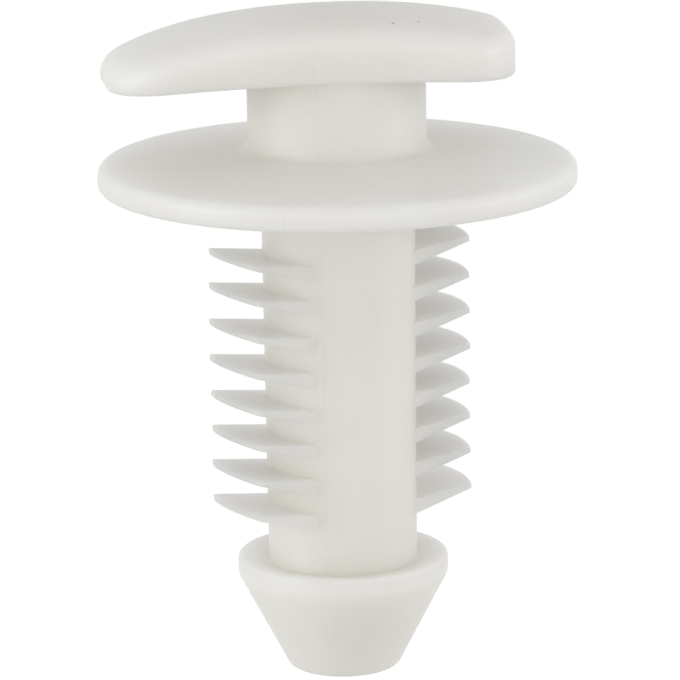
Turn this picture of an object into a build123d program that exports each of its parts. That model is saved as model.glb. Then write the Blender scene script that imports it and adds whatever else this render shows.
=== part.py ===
"""Push-in car trim clip, moulded in one piece.

Millimetres. Z runs along the stem with the head up. The origin is the centre of the
flange's underside, which seats on the car's panel. X runs along the head's length.
"""
import os
from math import cos, radians, sin

from build123d import *

# Head: a domed bar, longer on one side of the stem, that slides into the trim's slot
HEAD_LONG_REACH = 9.45
HEAD_SHORT_REACH = 7.1
HEAD_LONG_END_HALF = 3.2
HEAD_SHORT_END_HALF = 4.15
HEAD_LONG_CORNER = 2.0
HEAD_SHORT_CORNER = 1.8
HEAD_TOP = 7.1
HEAD_DOME_RADIUS = 30.0
HEAD_CROWN_RADIUS = 12.0
HEAD_UNDERSIDE = 4.75
HEAD_UNDERSIDE_RADIUS = 120.0
HEAD_TOP_ROUND = 0.7
HEAD_UNDER_ROUND = 0.15
HEAD_HALF_SWEEP = 25.0
HEAD_MARGIN = 1.0

# Neck between the head and the flange
NECK_RADIUS = 3.57
NECK_OVERLAP = 0.5

# Flange: a round, gently domed washer that covers the panel's hole
FLANGE_RADIUS = 9.5
FLANGE_RIM = 0.95
FLANGE_CROWN = 0.5
FLANGE_BULGE = 0.62
FLANGE_UNDER_ROUND = 0.3

# Shank, with a slight draft towards the point
SHANK_TOP_RADIUS = 3.06
SHANK_END_RADIUS = 2.92
SHANK_FILLET = 0.35

# Fins: pairs of thin flexible sectors that slope up and out from the shank
FIN_PAIRS = 8
FIN_PITCH = 1.45
FIN_REACH = 5.2
FIN_TIP = 0.15
FIN_FIRST_TIP = 2.4
FIN_TOP_RISE = 0.16
FIN_UNDER_RISE = 0.33
FIN_HALF_ANGLE = 36.0
FIN_TURN = 9.0

# Point: a barb and a blunt cone that lead the clip into the hole
BARB_RADIUS = 4.2
BARB_TOP = 15.1
BARB_UNDERCUT = 0.3
BARB_LAND = 0.75
POINT_END_RADIUS = 1.95
POINT_LENGTH = 4.0

barb_land_bottom = BARB_TOP + BARB_LAND
point_bottom = barb_land_bottom + POINT_LENGTH
total_height = HEAD_TOP + point_bottom


def head_plan():
    """Outline of the head seen from above: a slightly tapered bar with rounded corners."""
    outline = make_face(
        Polyline(
            (-HEAD_LONG_REACH, -HEAD_LONG_END_HALF),
            (HEAD_SHORT_REACH, -HEAD_SHORT_END_HALF),
            (HEAD_SHORT_REACH, HEAD_SHORT_END_HALF),
            (-HEAD_LONG_REACH, HEAD_LONG_END_HALF),
            close=True,
        )
    )
    outline = fillet(outline.vertices().sort_by(Axis.X)[:2], HEAD_LONG_CORNER)
    return fillet(outline.vertices().sort_by(Axis.X)[-2:], HEAD_SHORT_CORNER)


def dome_over_head():
    """The space under the head's top: a shallow crown swept round a larger arc."""
    half_deep = HEAD_SHORT_END_HALF + HEAD_MARGIN
    edge_z = HEAD_TOP - HEAD_CROWN_RADIUS + (HEAD_CROWN_RADIUS**2 - half_deep**2) ** 0.5
    crown = ThreePointArc((-half_deep, edge_z), (0, HEAD_TOP), (half_deep, edge_z))
    sides = Polyline((half_deep, edge_z), (half_deep, 0), (-half_deep, 0), (-half_deep, edge_z))
    axis = Axis((0, 0, HEAD_TOP - HEAD_DOME_RADIUS), (0, 1, 0))
    section = (Plane.YZ * make_face(crown + sides)).rotate(axis, -HEAD_HALF_SWEEP)
    return revolve(section, axis, 2 * HEAD_HALF_SWEEP)


def space_over_underside():
    """The space above the head's underside, which arches faintly along the head."""
    half_long = HEAD_LONG_REACH + HEAD_MARGIN
    drop = HEAD_UNDERSIDE_RADIUS - (HEAD_UNDERSIDE_RADIUS**2 - half_long**2) ** 0.5
    end_z = HEAD_UNDERSIDE - drop
    above = HEAD_TOP + HEAD_MARGIN
    arch = ThreePointArc((-half_long, end_z), (0, HEAD_UNDERSIDE), (half_long, end_z))
    walls = Polyline((half_long, end_z), (half_long, above), (-half_long, above), (-half_long, end_z))
    return extrude(Plane.XZ * make_face(arch + walls), HEAD_SHORT_END_HALF + HEAD_MARGIN, both=True)


def head():
    """The bar between its dome and its underside, with softened edges."""
    prism = extrude(head_plan(), HEAD_TOP + HEAD_MARGIN)
    bar = prism & space_over_underside() & dome_over_head()
    bar = fillet(bar.faces().sort_by(Axis.Z)[-1].edges(), HEAD_TOP_ROUND)
    return fillet(bar.faces().sort_by(Axis.Z)[0].edges(), HEAD_UNDER_ROUND)


def turned_body():
    """Everything round about Z: neck, flange, shank, barb and point, as one revolve."""
    neck_top = HEAD_UNDERSIDE + NECK_OVERLAP
    crown_top = FLANGE_RIM + FLANGE_CROWN
    dome_middle = ((NECK_RADIUS + FLANGE_RADIUS) / 2, FLANGE_RIM + FLANGE_BULGE * FLANGE_CROWN)
    dome = ThreePointArc((NECK_RADIUS, crown_top), dome_middle, (FLANGE_RADIUS, FLANGE_RIM))
    below = Polyline(
        (FLANGE_RADIUS, FLANGE_RIM),
        (FLANGE_RADIUS, 0),
        (SHANK_TOP_RADIUS, 0),
        (SHANK_END_RADIUS, -BARB_TOP - BARB_UNDERCUT),
        (BARB_RADIUS, -BARB_TOP),
        (BARB_RADIUS, -barb_land_bottom),
        (POINT_END_RADIUS, -point_bottom),
        (0, -point_bottom),
    )
    neck = Polyline((0, -point_bottom), (0, neck_top), (NECK_RADIUS, neck_top), (NECK_RADIUS, crown_top))
    section = make_face(dome + below + neck)
    for x, radius in ((FLANGE_RADIUS, FLANGE_UNDER_ROUND), (SHANK_TOP_RADIUS, SHANK_FILLET)):
        corner = section.vertices().sort_by_distance((x, 0, 0))[0]
        section = fillet(corner, radius)
    return revolve(Plane.XZ * section, Axis.Z)


def fins():
    """All the fins: one thin profile a side, drawn through, then cut to sectors of a disc."""
    plates = []
    for index in range(FIN_PAIRS):
        tip = -FIN_FIRST_TIP - index * FIN_PITCH
        for side in (-1, 1):
            profile = Polyline(
                (side * FIN_REACH, tip),
                (0, tip - FIN_TOP_RISE * FIN_REACH),
                (0, tip - FIN_TIP - FIN_UNDER_RISE * FIN_REACH),
                (side * FIN_REACH, tip - FIN_TIP),
                close=True,
            )
            plates.append(extrude(Plane.XZ * make_face(profile), FIN_REACH, both=True))
    spread = radians(FIN_HALF_ANGLE)
    far_x, far_y = 2 * FIN_REACH * cos(spread), 2 * FIN_REACH * sin(spread)
    bow = [
        make_face(Polyline((0, 0), (side * far_x, far_y), (side * far_x, -far_y), close=True))
        for side in (-1, 1)
    ]
    depth = FIN_FIRST_TIP + FIN_PAIRS * FIN_PITCH + FIN_REACH
    keep = [extrude(sector, -depth) & Cylinder(FIN_REACH, 3 * depth) for sector in bow]
    sectors = [plate & keep[number % 2] for number, plate in enumerate(plates)]
    return [Rot(0, 0, FIN_TURN) * sector for sector in sectors]


part = turned_body() + fins() + head()
os.makedirs("parts", exist_ok=True)
export_step(part, "parts/trim_clip.step")
print("solids", len(part.solids()), "height", round(total_height, 2), "volume", round(part.volume, 1))
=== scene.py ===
from math import asin, atan, cos, pi, radians, sin, sqrt, tan

import bmesh
import bpy
from mathutils import Matrix, Quaternion, Vector


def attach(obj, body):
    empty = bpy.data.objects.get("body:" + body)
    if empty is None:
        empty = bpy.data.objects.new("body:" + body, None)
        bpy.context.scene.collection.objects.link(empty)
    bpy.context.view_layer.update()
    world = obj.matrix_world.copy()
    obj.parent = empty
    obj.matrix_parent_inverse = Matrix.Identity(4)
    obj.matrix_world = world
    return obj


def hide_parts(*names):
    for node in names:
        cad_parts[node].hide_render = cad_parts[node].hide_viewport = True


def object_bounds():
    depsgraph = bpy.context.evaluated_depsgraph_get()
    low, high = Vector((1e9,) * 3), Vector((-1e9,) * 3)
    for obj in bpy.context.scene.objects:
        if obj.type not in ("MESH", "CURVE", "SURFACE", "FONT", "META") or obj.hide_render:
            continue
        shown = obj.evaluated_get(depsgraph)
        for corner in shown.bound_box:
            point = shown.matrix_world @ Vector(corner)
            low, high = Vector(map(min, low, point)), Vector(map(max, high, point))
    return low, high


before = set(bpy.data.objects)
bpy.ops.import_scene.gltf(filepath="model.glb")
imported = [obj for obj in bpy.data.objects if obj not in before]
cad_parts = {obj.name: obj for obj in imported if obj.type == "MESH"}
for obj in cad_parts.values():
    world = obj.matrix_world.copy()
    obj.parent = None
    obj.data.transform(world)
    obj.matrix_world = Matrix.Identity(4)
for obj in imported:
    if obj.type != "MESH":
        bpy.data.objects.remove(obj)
cad_low, cad_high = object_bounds()

MM = 0.001

# How the clip is seen: a little from above and from the left, through a long lens
VIEW_AZIMUTH = -8.8
VIEW_ELEVATION = 13.4
VIEW_ROLL = -0.85
VIEW_HEIGHT = -6.41 * MM
VIEW_WIDTH = 27.13 * MM
LENS = 250.0
SENSOR = 36.0
NEAREST_SEEN = 0.01
FARTHEST_SEEN = 10.0

# The sizes of the moulding are in millimetres, with the solid's own box as the outer limit
BOX_MARGIN = 0.01

# Head: a domed bar, longer to the left. The underside's drop grows with the square of the
# distance from the stem, and the top's extra fall at the ends with its fourth power
HEAD_TOP = cad_high.z / MM - 2 * BOX_MARGIN
HEAD_UNDERSIDE = 4.59
HEAD_UNDERSIDE_DROP = 0.0042
HEAD_LONG_REACH = 9.2
HEAD_SHORT_REACH = 6.85
HEAD_LONG_HALF = 3.3
HEAD_SHORT_HALF = 4.15
HEAD_LONG_CORNER = 2.3
HEAD_SHORT_CORNER = 2.5
HEAD_DOME_RADIUS = 36.0
HEAD_END_FALL = 1.0e-4
HEAD_CROWN_RADIUS = 13.0
HEAD_TOP_ROUND = 0.5
HEAD_UNDER_ROUND = 0.2
HEAD_LEAST_WALL = 0.02

# Neck and flange
NECK_RADIUS = 3.54
NECK_OVERLAP = 0.5
NECK_FILLET = 0.45
FLANGE_RADIUS = cad_high.x / MM - BOX_MARGIN
FLANGE_RIM = 0.88
FLANGE_CROWN = 0.55
FLANGE_DOME_POWER = 1.7
FLANGE_LIP = -0.06
FLANGE_TOP_ROUND = 0.42
FLANGE_UNDER_ROUND = 0.25

# Shank, barb and point
SHANK_TOP_RADIUS = 3.06
SHANK_END_RADIUS = 2.98
SHANK_FILLET = 0.35
BARB_RADIUS = 4.22
BARB_TOP = 15.12
BARB_UNDERCUT = 0.25
BARB_UNDERCUT_FILLET = 0.08
BARB_TOP_ROUND = 0.16
BARB_LAND_BOTTOM = 15.9
BARB_LAND_ROUND = 0.5
POINT_END_RADIUS = 2.17
POINT_END_ROUND = 0.45
POINT_BOTTOM = -cad_low.z / MM - BOX_MARGIN

# Fins: the first tip lies a little lower on the left side (-1) than on the right (1). The seed
# steps only make the unevenness differ from fin to fin
FIN_PAIRS = 8
FIN_PITCH = 1.45
FIN_REACH = 5.2
FIN_ROOT = 2.0
FIN_TIP = 0.15
FIN_FIRST_TIP = {-1: 2.38, 1: 2.33}
FIN_TOP_RISE = 0.13
FIN_UNDER_RISE = 0.27
FIN_HALF_WIDTH = 2.05
FIN_TURN = 20.0
FIN_RAGGED = 0.035
TIP_SEED_STEP = 2
REACH_SEED_STEP = 5

# How finely the shapes are divided. The rings on the head's two faces lie at shares of its outline
TURNED_STEPS = 180
PROFILE_CORNER_STEPS = 8
FLANGE_DOME_STEPS = 5
HEAD_CORNER_STEPS = 14
HEAD_SIDE_STEPS = 24
HEAD_UNDER_ROUND_STEPS = 4
HEAD_TOP_ROUND_STEPS = 8
HEAD_UNDERSIDE_RINGS = (0.25, 0.6, 0.9)
HEAD_TOP_RINGS = (0.93, 0.84, 0.72, 0.58, 0.42, 0.25, 0.1)
FIN_END_STEPS = 28
SMOOTH_ANGLE = 32.0

# Marks on the surface. The grain is drawn coarser than such a mould leaves it, so that it shows
PARTING_AZIMUTH = -21.3
PARTING_HALF_WIDTH = 0.05 * MM
GRAIN_SIZE = 0.22 * MM
RIPPLE_SIZE = 1.6 * MM
CLOUD_SIZE = 5.0 * MM

# Dark specks: place and radius in millimetres
SPECKS = (
    ((1.85, -2.7, 6.75), 0.10),
    ((2.9, -2.45, 6.7), 0.08),
    ((6.9, 4.2, 1.2), 0.07),
)

# The studio, in metres
FLOOR_DROP = 4.0 * MM
FLOOR_HALF = 0.6
LAMP_DISTANCE = 0.35


def turned(x, y, angle):
    """A point turned about the origin."""
    return x * cos(angle) - y * sin(angle), x * sin(angle) + y * cos(angle)


def corner_arc(before, corner, after, radius, steps):
    """Points of the arc that rounds a corner, or the corner itself where it stays sharp."""
    if radius == 0:
        return [corner]
    corner = Vector(corner)
    back = (Vector(before) - corner).normalized()
    on = (Vector(after) - corner).normalized()
    half = back.angle(on) / 2
    middle = corner + (back + on).normalized() * (radius / sin(half))
    start = corner + back * (radius / tan(half)) - middle
    sweep = pi - 2 * half
    if back.cross(on) > 0:
        sweep = -sweep
    points = []
    for step in range(steps + 1):
        x, y = turned(start.x, start.y, sweep * step / steps)
        points.append((middle.x + x, middle.y + y))
    return points


def rounded(corners, steps):
    """One arc for each (x, y, radius) corner of a closed outline."""
    arcs = []
    for i, (x, y, radius) in enumerate(corners):
        before = corners[i - 1][:2]
        after = corners[(i + 1) % len(corners)][:2]
        arcs.append(corner_arc(before, (x, y), after, radius, steps))
    return arcs


def add_skin(mesh, rings):
    """A closed skin through rings of (x, y, z) points, capped at the first and the last."""
    loops = [[mesh.verts.new(point) for point in ring] for ring in rings]
    for lower, upper in zip(loops, loops[1:]):
        for i in range(len(lower)):
            j = (i + 1) % len(lower)
            mesh.faces.new((lower[i], lower[j], upper[j], upper[i]))
    mesh.faces.new(loops[0])
    mesh.faces.new(loops[-1])


def piece_from(mesh, name):
    """A piece in the scene, in metres, from a mesh built in millimetres."""
    bmesh.ops.recalc_face_normals(mesh, faces=mesh.faces)
    data = bpy.data.meshes.new(name)
    mesh.to_mesh(data)
    mesh.free()
    data.transform(Matrix.Scale(MM, 4))
    piece = bpy.data.objects.new(name, data)
    bpy.context.scene.collection.objects.link(piece)
    return piece


def flange_dome():
    """Points on the flange's domed top, from near the neck to near the rim."""
    points = []
    for step in range(1, FLANGE_DOME_STEPS):
        share = step / FLANGE_DOME_STEPS
        radius = NECK_RADIUS + (FLANGE_RADIUS - NECK_RADIUS) * share
        height = FLANGE_RIM + FLANGE_CROWN * (1 - share**FLANGE_DOME_POWER)
        points.append((radius, height, 0))
    return points


def turned_body():
    """Neck, flange, shank, barb and point, turned round the stem's axis."""
    top = HEAD_UNDERSIDE + NECK_OVERLAP
    corners = [
        (0, top, 0),
        (NECK_RADIUS, top, 0),
        (NECK_RADIUS, FLANGE_RIM + FLANGE_CROWN, NECK_FILLET),
        *flange_dome(),
        (FLANGE_RADIUS, FLANGE_RIM, FLANGE_TOP_ROUND),
        (FLANGE_RADIUS, FLANGE_LIP, FLANGE_UNDER_ROUND),
        (SHANK_TOP_RADIUS, 0, SHANK_FILLET),
        (SHANK_END_RADIUS, -BARB_TOP - BARB_UNDERCUT, BARB_UNDERCUT_FILLET),
        (BARB_RADIUS, -BARB_TOP, BARB_TOP_ROUND),
        (BARB_RADIUS, -BARB_LAND_BOTTOM, BARB_LAND_ROUND),
        (POINT_END_RADIUS, -POINT_BOTTOM, POINT_END_ROUND),
        (0, -POINT_BOTTOM, 0),
    ]
    profile = [point for arc in rounded(corners, PROFILE_CORNER_STEPS) for point in arc]

    # The two points on the axis are left out, because flat caps close the skin there
    angles = [2 * pi * step / TURNED_STEPS for step in range(TURNED_STEPS)]
    mesh = bmesh.new()
    add_skin(mesh, [[(r * cos(a), r * sin(a), z) for a in angles] for r, z in profile[1:-1]])
    return piece_from(mesh, "turned_body")


def head_outline(inset):
    """The head's outline from above, drawn in by an inset that its corners take up."""
    long_x = -HEAD_LONG_REACH + inset
    long_y = HEAD_LONG_HALF - inset
    long_round = HEAD_LONG_CORNER - inset
    short_x = HEAD_SHORT_REACH - inset
    short_y = HEAD_SHORT_HALF - inset
    short_round = HEAD_SHORT_CORNER - inset
    corners = [
        (long_x, -long_y, long_round),
        (short_x, -short_y, short_round),
        (short_x, short_y, short_round),
        (long_x, long_y, long_round),
    ]
    arcs = rounded(corners, HEAD_CORNER_STEPS)
    points = []
    for i, arc in enumerate(arcs):
        points += arc
        start = arc[-1]
        end = arcs[(i + 1) % len(arcs)][0]
        for step in range(1, HEAD_SIDE_STEPS):
            points.append(tuple(p + (q - p) * step / HEAD_SIDE_STEPS for p, q in zip(start, end)))
    return points


def head_height(x, y):
    """The top of the head: a shallow crown swept along a larger arc."""
    along = x * x / (2 * HEAD_DOME_RADIUS) + HEAD_END_FALL * x**4
    across = HEAD_CROWN_RADIUS - sqrt(HEAD_CROWN_RADIUS**2 - y * y)
    return HEAD_TOP - along - across


def head_floor(x):
    """The underside of the head, which droops a little towards both ends."""
    return HEAD_UNDERSIDE - HEAD_UNDERSIDE_DROP * x * x


def head_rings():
    """Rings of points over the head, from the middle of its underside to the middle of its top."""
    for share in HEAD_UNDERSIDE_RINGS:
        outline = [(x * share, y * share) for x, y in head_outline(HEAD_UNDER_ROUND)]
        yield [(x, y, head_floor(x)) for x, y in outline]

    for step in range(HEAD_UNDER_ROUND_STEPS + 1):
        angle = pi / 2 * step / HEAD_UNDER_ROUND_STEPS
        outline = head_outline(HEAD_UNDER_ROUND * (1 - sin(angle)))
        lift = HEAD_UNDER_ROUND * (1 - cos(angle))
        yield [(x, y, head_floor(x) + lift) for x, y in outline]

    # At the thin long end the rounded top edge would meet the lower one, so it is kept above it
    for step in range(HEAD_TOP_ROUND_STEPS + 1):
        angle = pi / 2 * step / HEAD_TOP_ROUND_STEPS
        outline = head_outline(HEAD_TOP_ROUND * (1 - cos(angle)))
        drop = HEAD_TOP_ROUND * (1 - sin(angle))
        least = HEAD_UNDER_ROUND + HEAD_LEAST_WALL * (step + 1)
        yield [(x, y, max(head_height(x, y) - drop, head_floor(x) + least)) for x, y in outline]

    for share in HEAD_TOP_RINGS:
        outline = [(x * share, y * share) for x, y in head_outline(HEAD_TOP_ROUND)]
        yield [(x, y, head_height(x, y)) for x, y in outline]


def head():
    """The domed bar on top of the neck."""
    mesh = bmesh.new()
    add_skin(mesh, list(head_rings()))
    return piece_from(mesh, "head")


def ragged(seed):
    """A repeatable unevenness between -1 and 1. Its two large factors only scramble the seed."""
    return sin(seed * 12.9898) * 43758.5453 % 1 * 2 - 1


def fin_outline(reach):
    """A fin seen from above: straight sides and a round end."""
    spread = asin(FIN_HALF_WIDTH / FIN_REACH)
    points = [(FIN_ROOT, -FIN_HALF_WIDTH)]
    for step in range(FIN_END_STEPS + 1):
        angle = spread * (2 * step / FIN_END_STEPS - 1)
        points.append((reach * cos(angle), reach * sin(angle)))
    points.append((FIN_ROOT, FIN_HALF_WIDTH))
    return points


def fins():
    """Pairs of thin blades, thickest at the shank, that slope up to their tips."""
    mesh = bmesh.new()
    for index in range(FIN_PAIRS):
        for side in (-1, 1):
            tip_lift = FIN_RAGGED * ragged(TIP_SEED_STEP * index + side)
            tip = -FIN_FIRST_TIP[side] - index * FIN_PITCH + tip_lift
            reach = FIN_REACH + FIN_RAGGED * ragged(REACH_SEED_STEP * index + side)
            rings = []
            for rise, down in ((FIN_TOP_RISE, 0.0), (FIN_UNDER_RISE, FIN_TIP)):
                ring = []
                for x, y in fin_outline(reach):
                    z = tip - down - rise * (FIN_REACH - x)
                    ring.append((*turned(side * x, side * y, radians(FIN_TURN)), z))
                rings.append(ring)
            add_skin(mesh, rings)
    return piece_from(mesh, "fins")


def fuse(body, others):
    """One closed skin round the body and the others, as they were moulded in one shot."""
    for other in others:
        joined = body.modifiers.new("fuse", "BOOLEAN")
        joined.operation = "UNION"
        joined.solver = "EXACT"
        joined.object = other
        bpy.context.view_layer.update()
        seen = body.evaluated_get(bpy.context.evaluated_depsgraph_get())
        solid = bpy.data.meshes.new_from_object(seen)
        body.modifiers.clear()
        body.data = solid
        bpy.data.objects.remove(other)
    return body


def moulding():
    """The clip in one piece, shown in place of the plain solid and inside its box."""
    clip = fuse(turned_body(), [head(), fins()])
    clip.name = "moulded_clip"
    clip.data.name = "moulded_clip"
    clip.data.shade_smooth()
    clip.data.set_sharp_from_angle(angle=radians(SMOOTH_ANGLE))
    clip.data.materials.clear()
    clip.data.materials.append(moulded_nylon())
    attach(clip, "root")
    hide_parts("trim_clip")


def linear(hex_colour):
    """An sRGB hex colour as linear light, with alpha."""
    parts = [int(hex_colour[i : i + 2], 16) / 255 for i in (0, 2, 4)]
    light = [c / 12.92 if c <= 0.04045 else ((c + 0.055) / 1.055) ** 2.4 for c in parts]
    return (*light, 1.0)


def add(tree, kind, settings=None, links=None):
    """One node, with its properties or input values set and its inputs linked."""
    node = tree.nodes.new(kind)
    for name, value in (settings or {}).items():
        if isinstance(name, str) and hasattr(node, name):
            setattr(node, name, value)
        else:
            node.inputs[name].default_value = value
    for name, source in (links or {}).items():
        tree.links.new(source, node.inputs[name])
    return node


def new_material(name):
    material = bpy.data.materials.new(name)
    material.use_nodes = True
    material.node_tree.nodes.clear()
    return material, material.node_tree


def parting_line(tree, place):
    """1 on the plane through the stem where the mould's two halves met, falling to 0 beside it."""
    turn = radians(PARTING_AZIMUTH)
    towards = {"operation": "DOT_PRODUCT", 1: (cos(turn), sin(turn), 0.0)}
    across = add(tree, "ShaderNodeVectorMath", towards, {0: place})
    away = add(tree, "ShaderNodeMath", {"operation": "ABSOLUTE"}, {0: across.outputs["Value"]})
    fall = {
        "interpolation_type": "SMOOTHSTEP",
        "From Min": 0.0,
        "From Max": PARTING_HALF_WIDTH,
        "To Min": 1.0,
        "To Max": 0.0,
    }
    return add(tree, "ShaderNodeMapRange", fall, {"Value": away.outputs[0]}).outputs[0]


def speckled(tree, place, colour):
    """The colour with a few dark specks, each strongest inside and fading out at its edge."""
    for middle, radius in SPECKS:
        to_middle = {"operation": "DISTANCE", 1: tuple(MM * value for value in middle)}
        away = add(tree, "ShaderNodeVectorMath", to_middle, {0: place})
        fade = {"From Min": 0.4 * radius * MM, "From Max": radius * MM, "To Min": 0.6, "To Max": 0.0}
        amount = add(tree, "ShaderNodeMapRange", fade, {"Value": away.outputs["Value"]})
        speck = add(tree, "ShaderNodeMix", {"data_type": "RGBA"}, {0: amount.outputs[0], 6: colour})
        speck.inputs[7].default_value = linear("6E675C")
        colour = speck.outputs[2]
    return colour


def moulded_nylon():
    """Natural nylon, injection moulded: milky and satin, letting light some way in, with a fine
    grain, soft clouds of tone, a faint parting line and a few dark specks."""
    material, tree = new_material("natural_nylon_moulded")
    place = add(tree, "ShaderNodeTexCoord").outputs["Object"]
    clouds = add(tree, "ShaderNodeTexNoise", {"Scale": 1 / CLOUD_SIZE, "Detail": 3.0}, {"Vector": place})
    grain = add(tree, "ShaderNodeTexNoise", {"Scale": 1 / GRAIN_SIZE, "Detail": 2.0}, {"Vector": place})
    ripple = add(tree, "ShaderNodeTexNoise", {"Scale": 1 / RIPPLE_SIZE, "Detail": 2.0}, {"Vector": place})
    line = parting_line(tree, place)

    tone = add(tree, "ShaderNodeValToRGB", None, {"Fac": clouds.outputs["Fac"]})
    tone.color_ramp.elements[0].position = 0.3
    tone.color_ramp.elements[0].color = linear("E4E2DD")
    tone.color_ramp.elements[1].position = 0.7
    tone.color_ramp.elements[1].color = linear("E8E7E3")
    line_tint = add(tree, "ShaderNodeMath", {"operation": "MULTIPLY", 1: 0.05}, {0: line})
    lined = add(
        tree,
        "ShaderNodeMix",
        {"data_type": "RGBA"},
        {0: line_tint.outputs[0], 6: tone.outputs["Color"]},
    )
    lined.inputs[7].default_value = linear("A9A69E")
    colour = speckled(tree, place, lined.outputs[2])

    rippled = add(
        tree,
        "ShaderNodeBump",
        {"Strength": 0.22, "Distance": 0.012 * MM},
        {"Height": ripple.outputs["Fac"]},
    )
    grained = add(
        tree,
        "ShaderNodeBump",
        {"Strength": 0.5, "Distance": 0.02 * MM},
        {"Height": grain.outputs["Fac"], "Normal": rippled.outputs["Normal"]},
    )
    relief = add(
        tree,
        "ShaderNodeBump",
        {"Strength": 0.12, "Distance": 0.02 * MM},
        {"Height": line, "Normal": grained.outputs["Normal"]},
    )
    roughness = add(
        tree,
        "ShaderNodeMapRange",
        {"From Min": 0.3, "From Max": 0.7, "To Min": 0.42, "To Max": 0.52},
        {"Value": grain.outputs["Fac"]},
    )
    shader = add(
        tree,
        "ShaderNodeBsdfPrincipled",
        {
            "IOR": 1.53,
            "Subsurface Weight": 1.0,
            "Subsurface Radius": (1.0, 0.98, 0.93),
            "Subsurface Scale": 3.0 * MM,
        },
        {
            "Base Color": colour,
            "Roughness": roughness.outputs[0],
            "Normal": relief.outputs["Normal"],
        },
    )
    add(tree, "ShaderNodeOutputMaterial", None, {"Surface": shader.outputs["BSDF"]})
    return material


def seen_directly(tree):
    """1 where the eye meets a surface directly, in a reflection or through it, else 0."""
    path = add(tree, "ShaderNodeLightPath")
    either = add(
        tree,
        "ShaderNodeMath",
        {"operation": "MAXIMUM"},
        {0: path.outputs["Is Camera Ray"], 1: path.outputs["Is Glossy Ray"]},
    )
    return add(
        tree,
        "ShaderNodeMath",
        {"operation": "MAXIMUM"},
        {0: either.outputs[0], 1: path.outputs["Is Transmission Ray"]},
    ).outputs[0]


def white_paper():
    """The floor: matt white paper that reads as plain white and keeps a faint shadow."""
    material, tree = new_material("matt_white_paper")
    paper = add(tree, "ShaderNodeBsdfDiffuse", {"Color": linear("F2F1EF")})
    dimmed = add(tree, "ShaderNodeBsdfDiffuse", {"Color": linear("8C8C8B")})
    glow = add(tree, "ShaderNodeEmission", {"Color": linear("FFFFFF"), "Strength": 0.84})
    seen = add(tree, "ShaderNodeAddShader", None, {0: dimmed.outputs[0], 1: glow.outputs[0]})
    surface = add(
        tree,
        "ShaderNodeMixShader",
        None,
        {0: seen_directly(tree), 1: paper.outputs[0], 2: seen.outputs[0]},
    )
    add(tree, "ShaderNodeOutputMaterial", None, {"Surface": surface.outputs[0]})
    return material


def floor():
    """The white floor, a little below the point."""
    z = cad_low.z - FLOOR_DROP
    signs = ((-1, -1), (1, -1), (1, 1), (-1, 1))
    mesh = bpy.data.meshes.new("floor")
    mesh.from_pydata([(x * FLOOR_HALF, y * FLOOR_HALF, z) for x, y in signs], [], [(0, 1, 2, 3)])
    mesh.materials.append(white_paper())
    plane = bpy.data.objects.new("floor", mesh)
    bpy.context.scene.collection.objects.link(plane)


def surroundings():
    """A plain white room: an even soft light, white where the eye sees it."""
    world = bpy.data.worlds.new("white_room")
    bpy.context.scene.world = world
    world.use_nodes = True
    tree = world.node_tree
    tree.nodes.clear()
    soft = add(tree, "ShaderNodeBackground", {"Color": linear("FFFFFF"), "Strength": 0.60})
    white = add(tree, "ShaderNodeBackground", {"Color": linear("FFFFFF"), "Strength": 1.0})
    mixed = add(
        tree,
        "ShaderNodeMixShader",
        None,
        {0: seen_directly(tree), 1: soft.outputs[0], 2: white.outputs[0]},
    )
    add(tree, "ShaderNodeOutputWorld", None, {"Surface": mixed.outputs[0]})


def direction(azimuth, elevation):
    """From the clip towards a place at that azimuth and height: 0 is in front, 90 at the right."""
    a = radians(azimuth)
    e = radians(elevation)
    return Vector((sin(a) * cos(e), -cos(a) * cos(e), sin(e)))


def softbox(name, azimuth, elevation, size, power):
    """A square studio lamp that faces the middle of the clip."""
    lamp = bpy.data.lights.new(name, "AREA")
    lamp.shape = "SQUARE"
    lamp.size = size
    lamp.energy = power
    lit = bpy.data.objects.new(name, lamp)
    bpy.context.scene.collection.objects.link(lit)
    outwards = direction(azimuth, elevation)
    lit.location = Vector((0, 0, VIEW_HEIGHT)) + outwards * LAMP_DISTANCE
    lit.rotation_mode = "QUATERNION"
    lit.rotation_quaternion = outwards.to_track_quat("Z", "Y")


def camera():
    """The eye, as far off as the lens needs to take in the view's width."""
    data = bpy.data.cameras.new("camera")
    data.sensor_width = SENSOR
    data.lens = LENS
    data.clip_start = NEAREST_SEEN
    data.clip_end = FARTHEST_SEEN
    eye = bpy.data.objects.new("camera", data)
    bpy.context.scene.collection.objects.link(eye)
    towards = direction(VIEW_AZIMUTH, VIEW_ELEVATION)
    half_angle = atan(SENSOR / 2 / LENS)
    eye.location = Vector((0, 0, VIEW_HEIGHT)) + towards * (VIEW_WIDTH / 2 / tan(half_angle))
    eye.rotation_mode = "QUATERNION"
    roll = Quaternion((0, 0, 1), radians(VIEW_ROLL))
    eye.rotation_quaternion = towards.to_track_quat("Z", "Y") @ roll
    bpy.context.scene.camera = eye


moulding()
floor()
surroundings()
softbox("left_softbox", azimuth=-75, elevation=5, size=0.22, power=0.54)
softbox("right_softbox", azimuth=72, elevation=5, size=0.22, power=0.40)
softbox("low_fill", azimuth=5, elevation=3, size=0.15, power=0.20)
camera()
bpy.context.scene.view_settings.view_transform = "Standard"
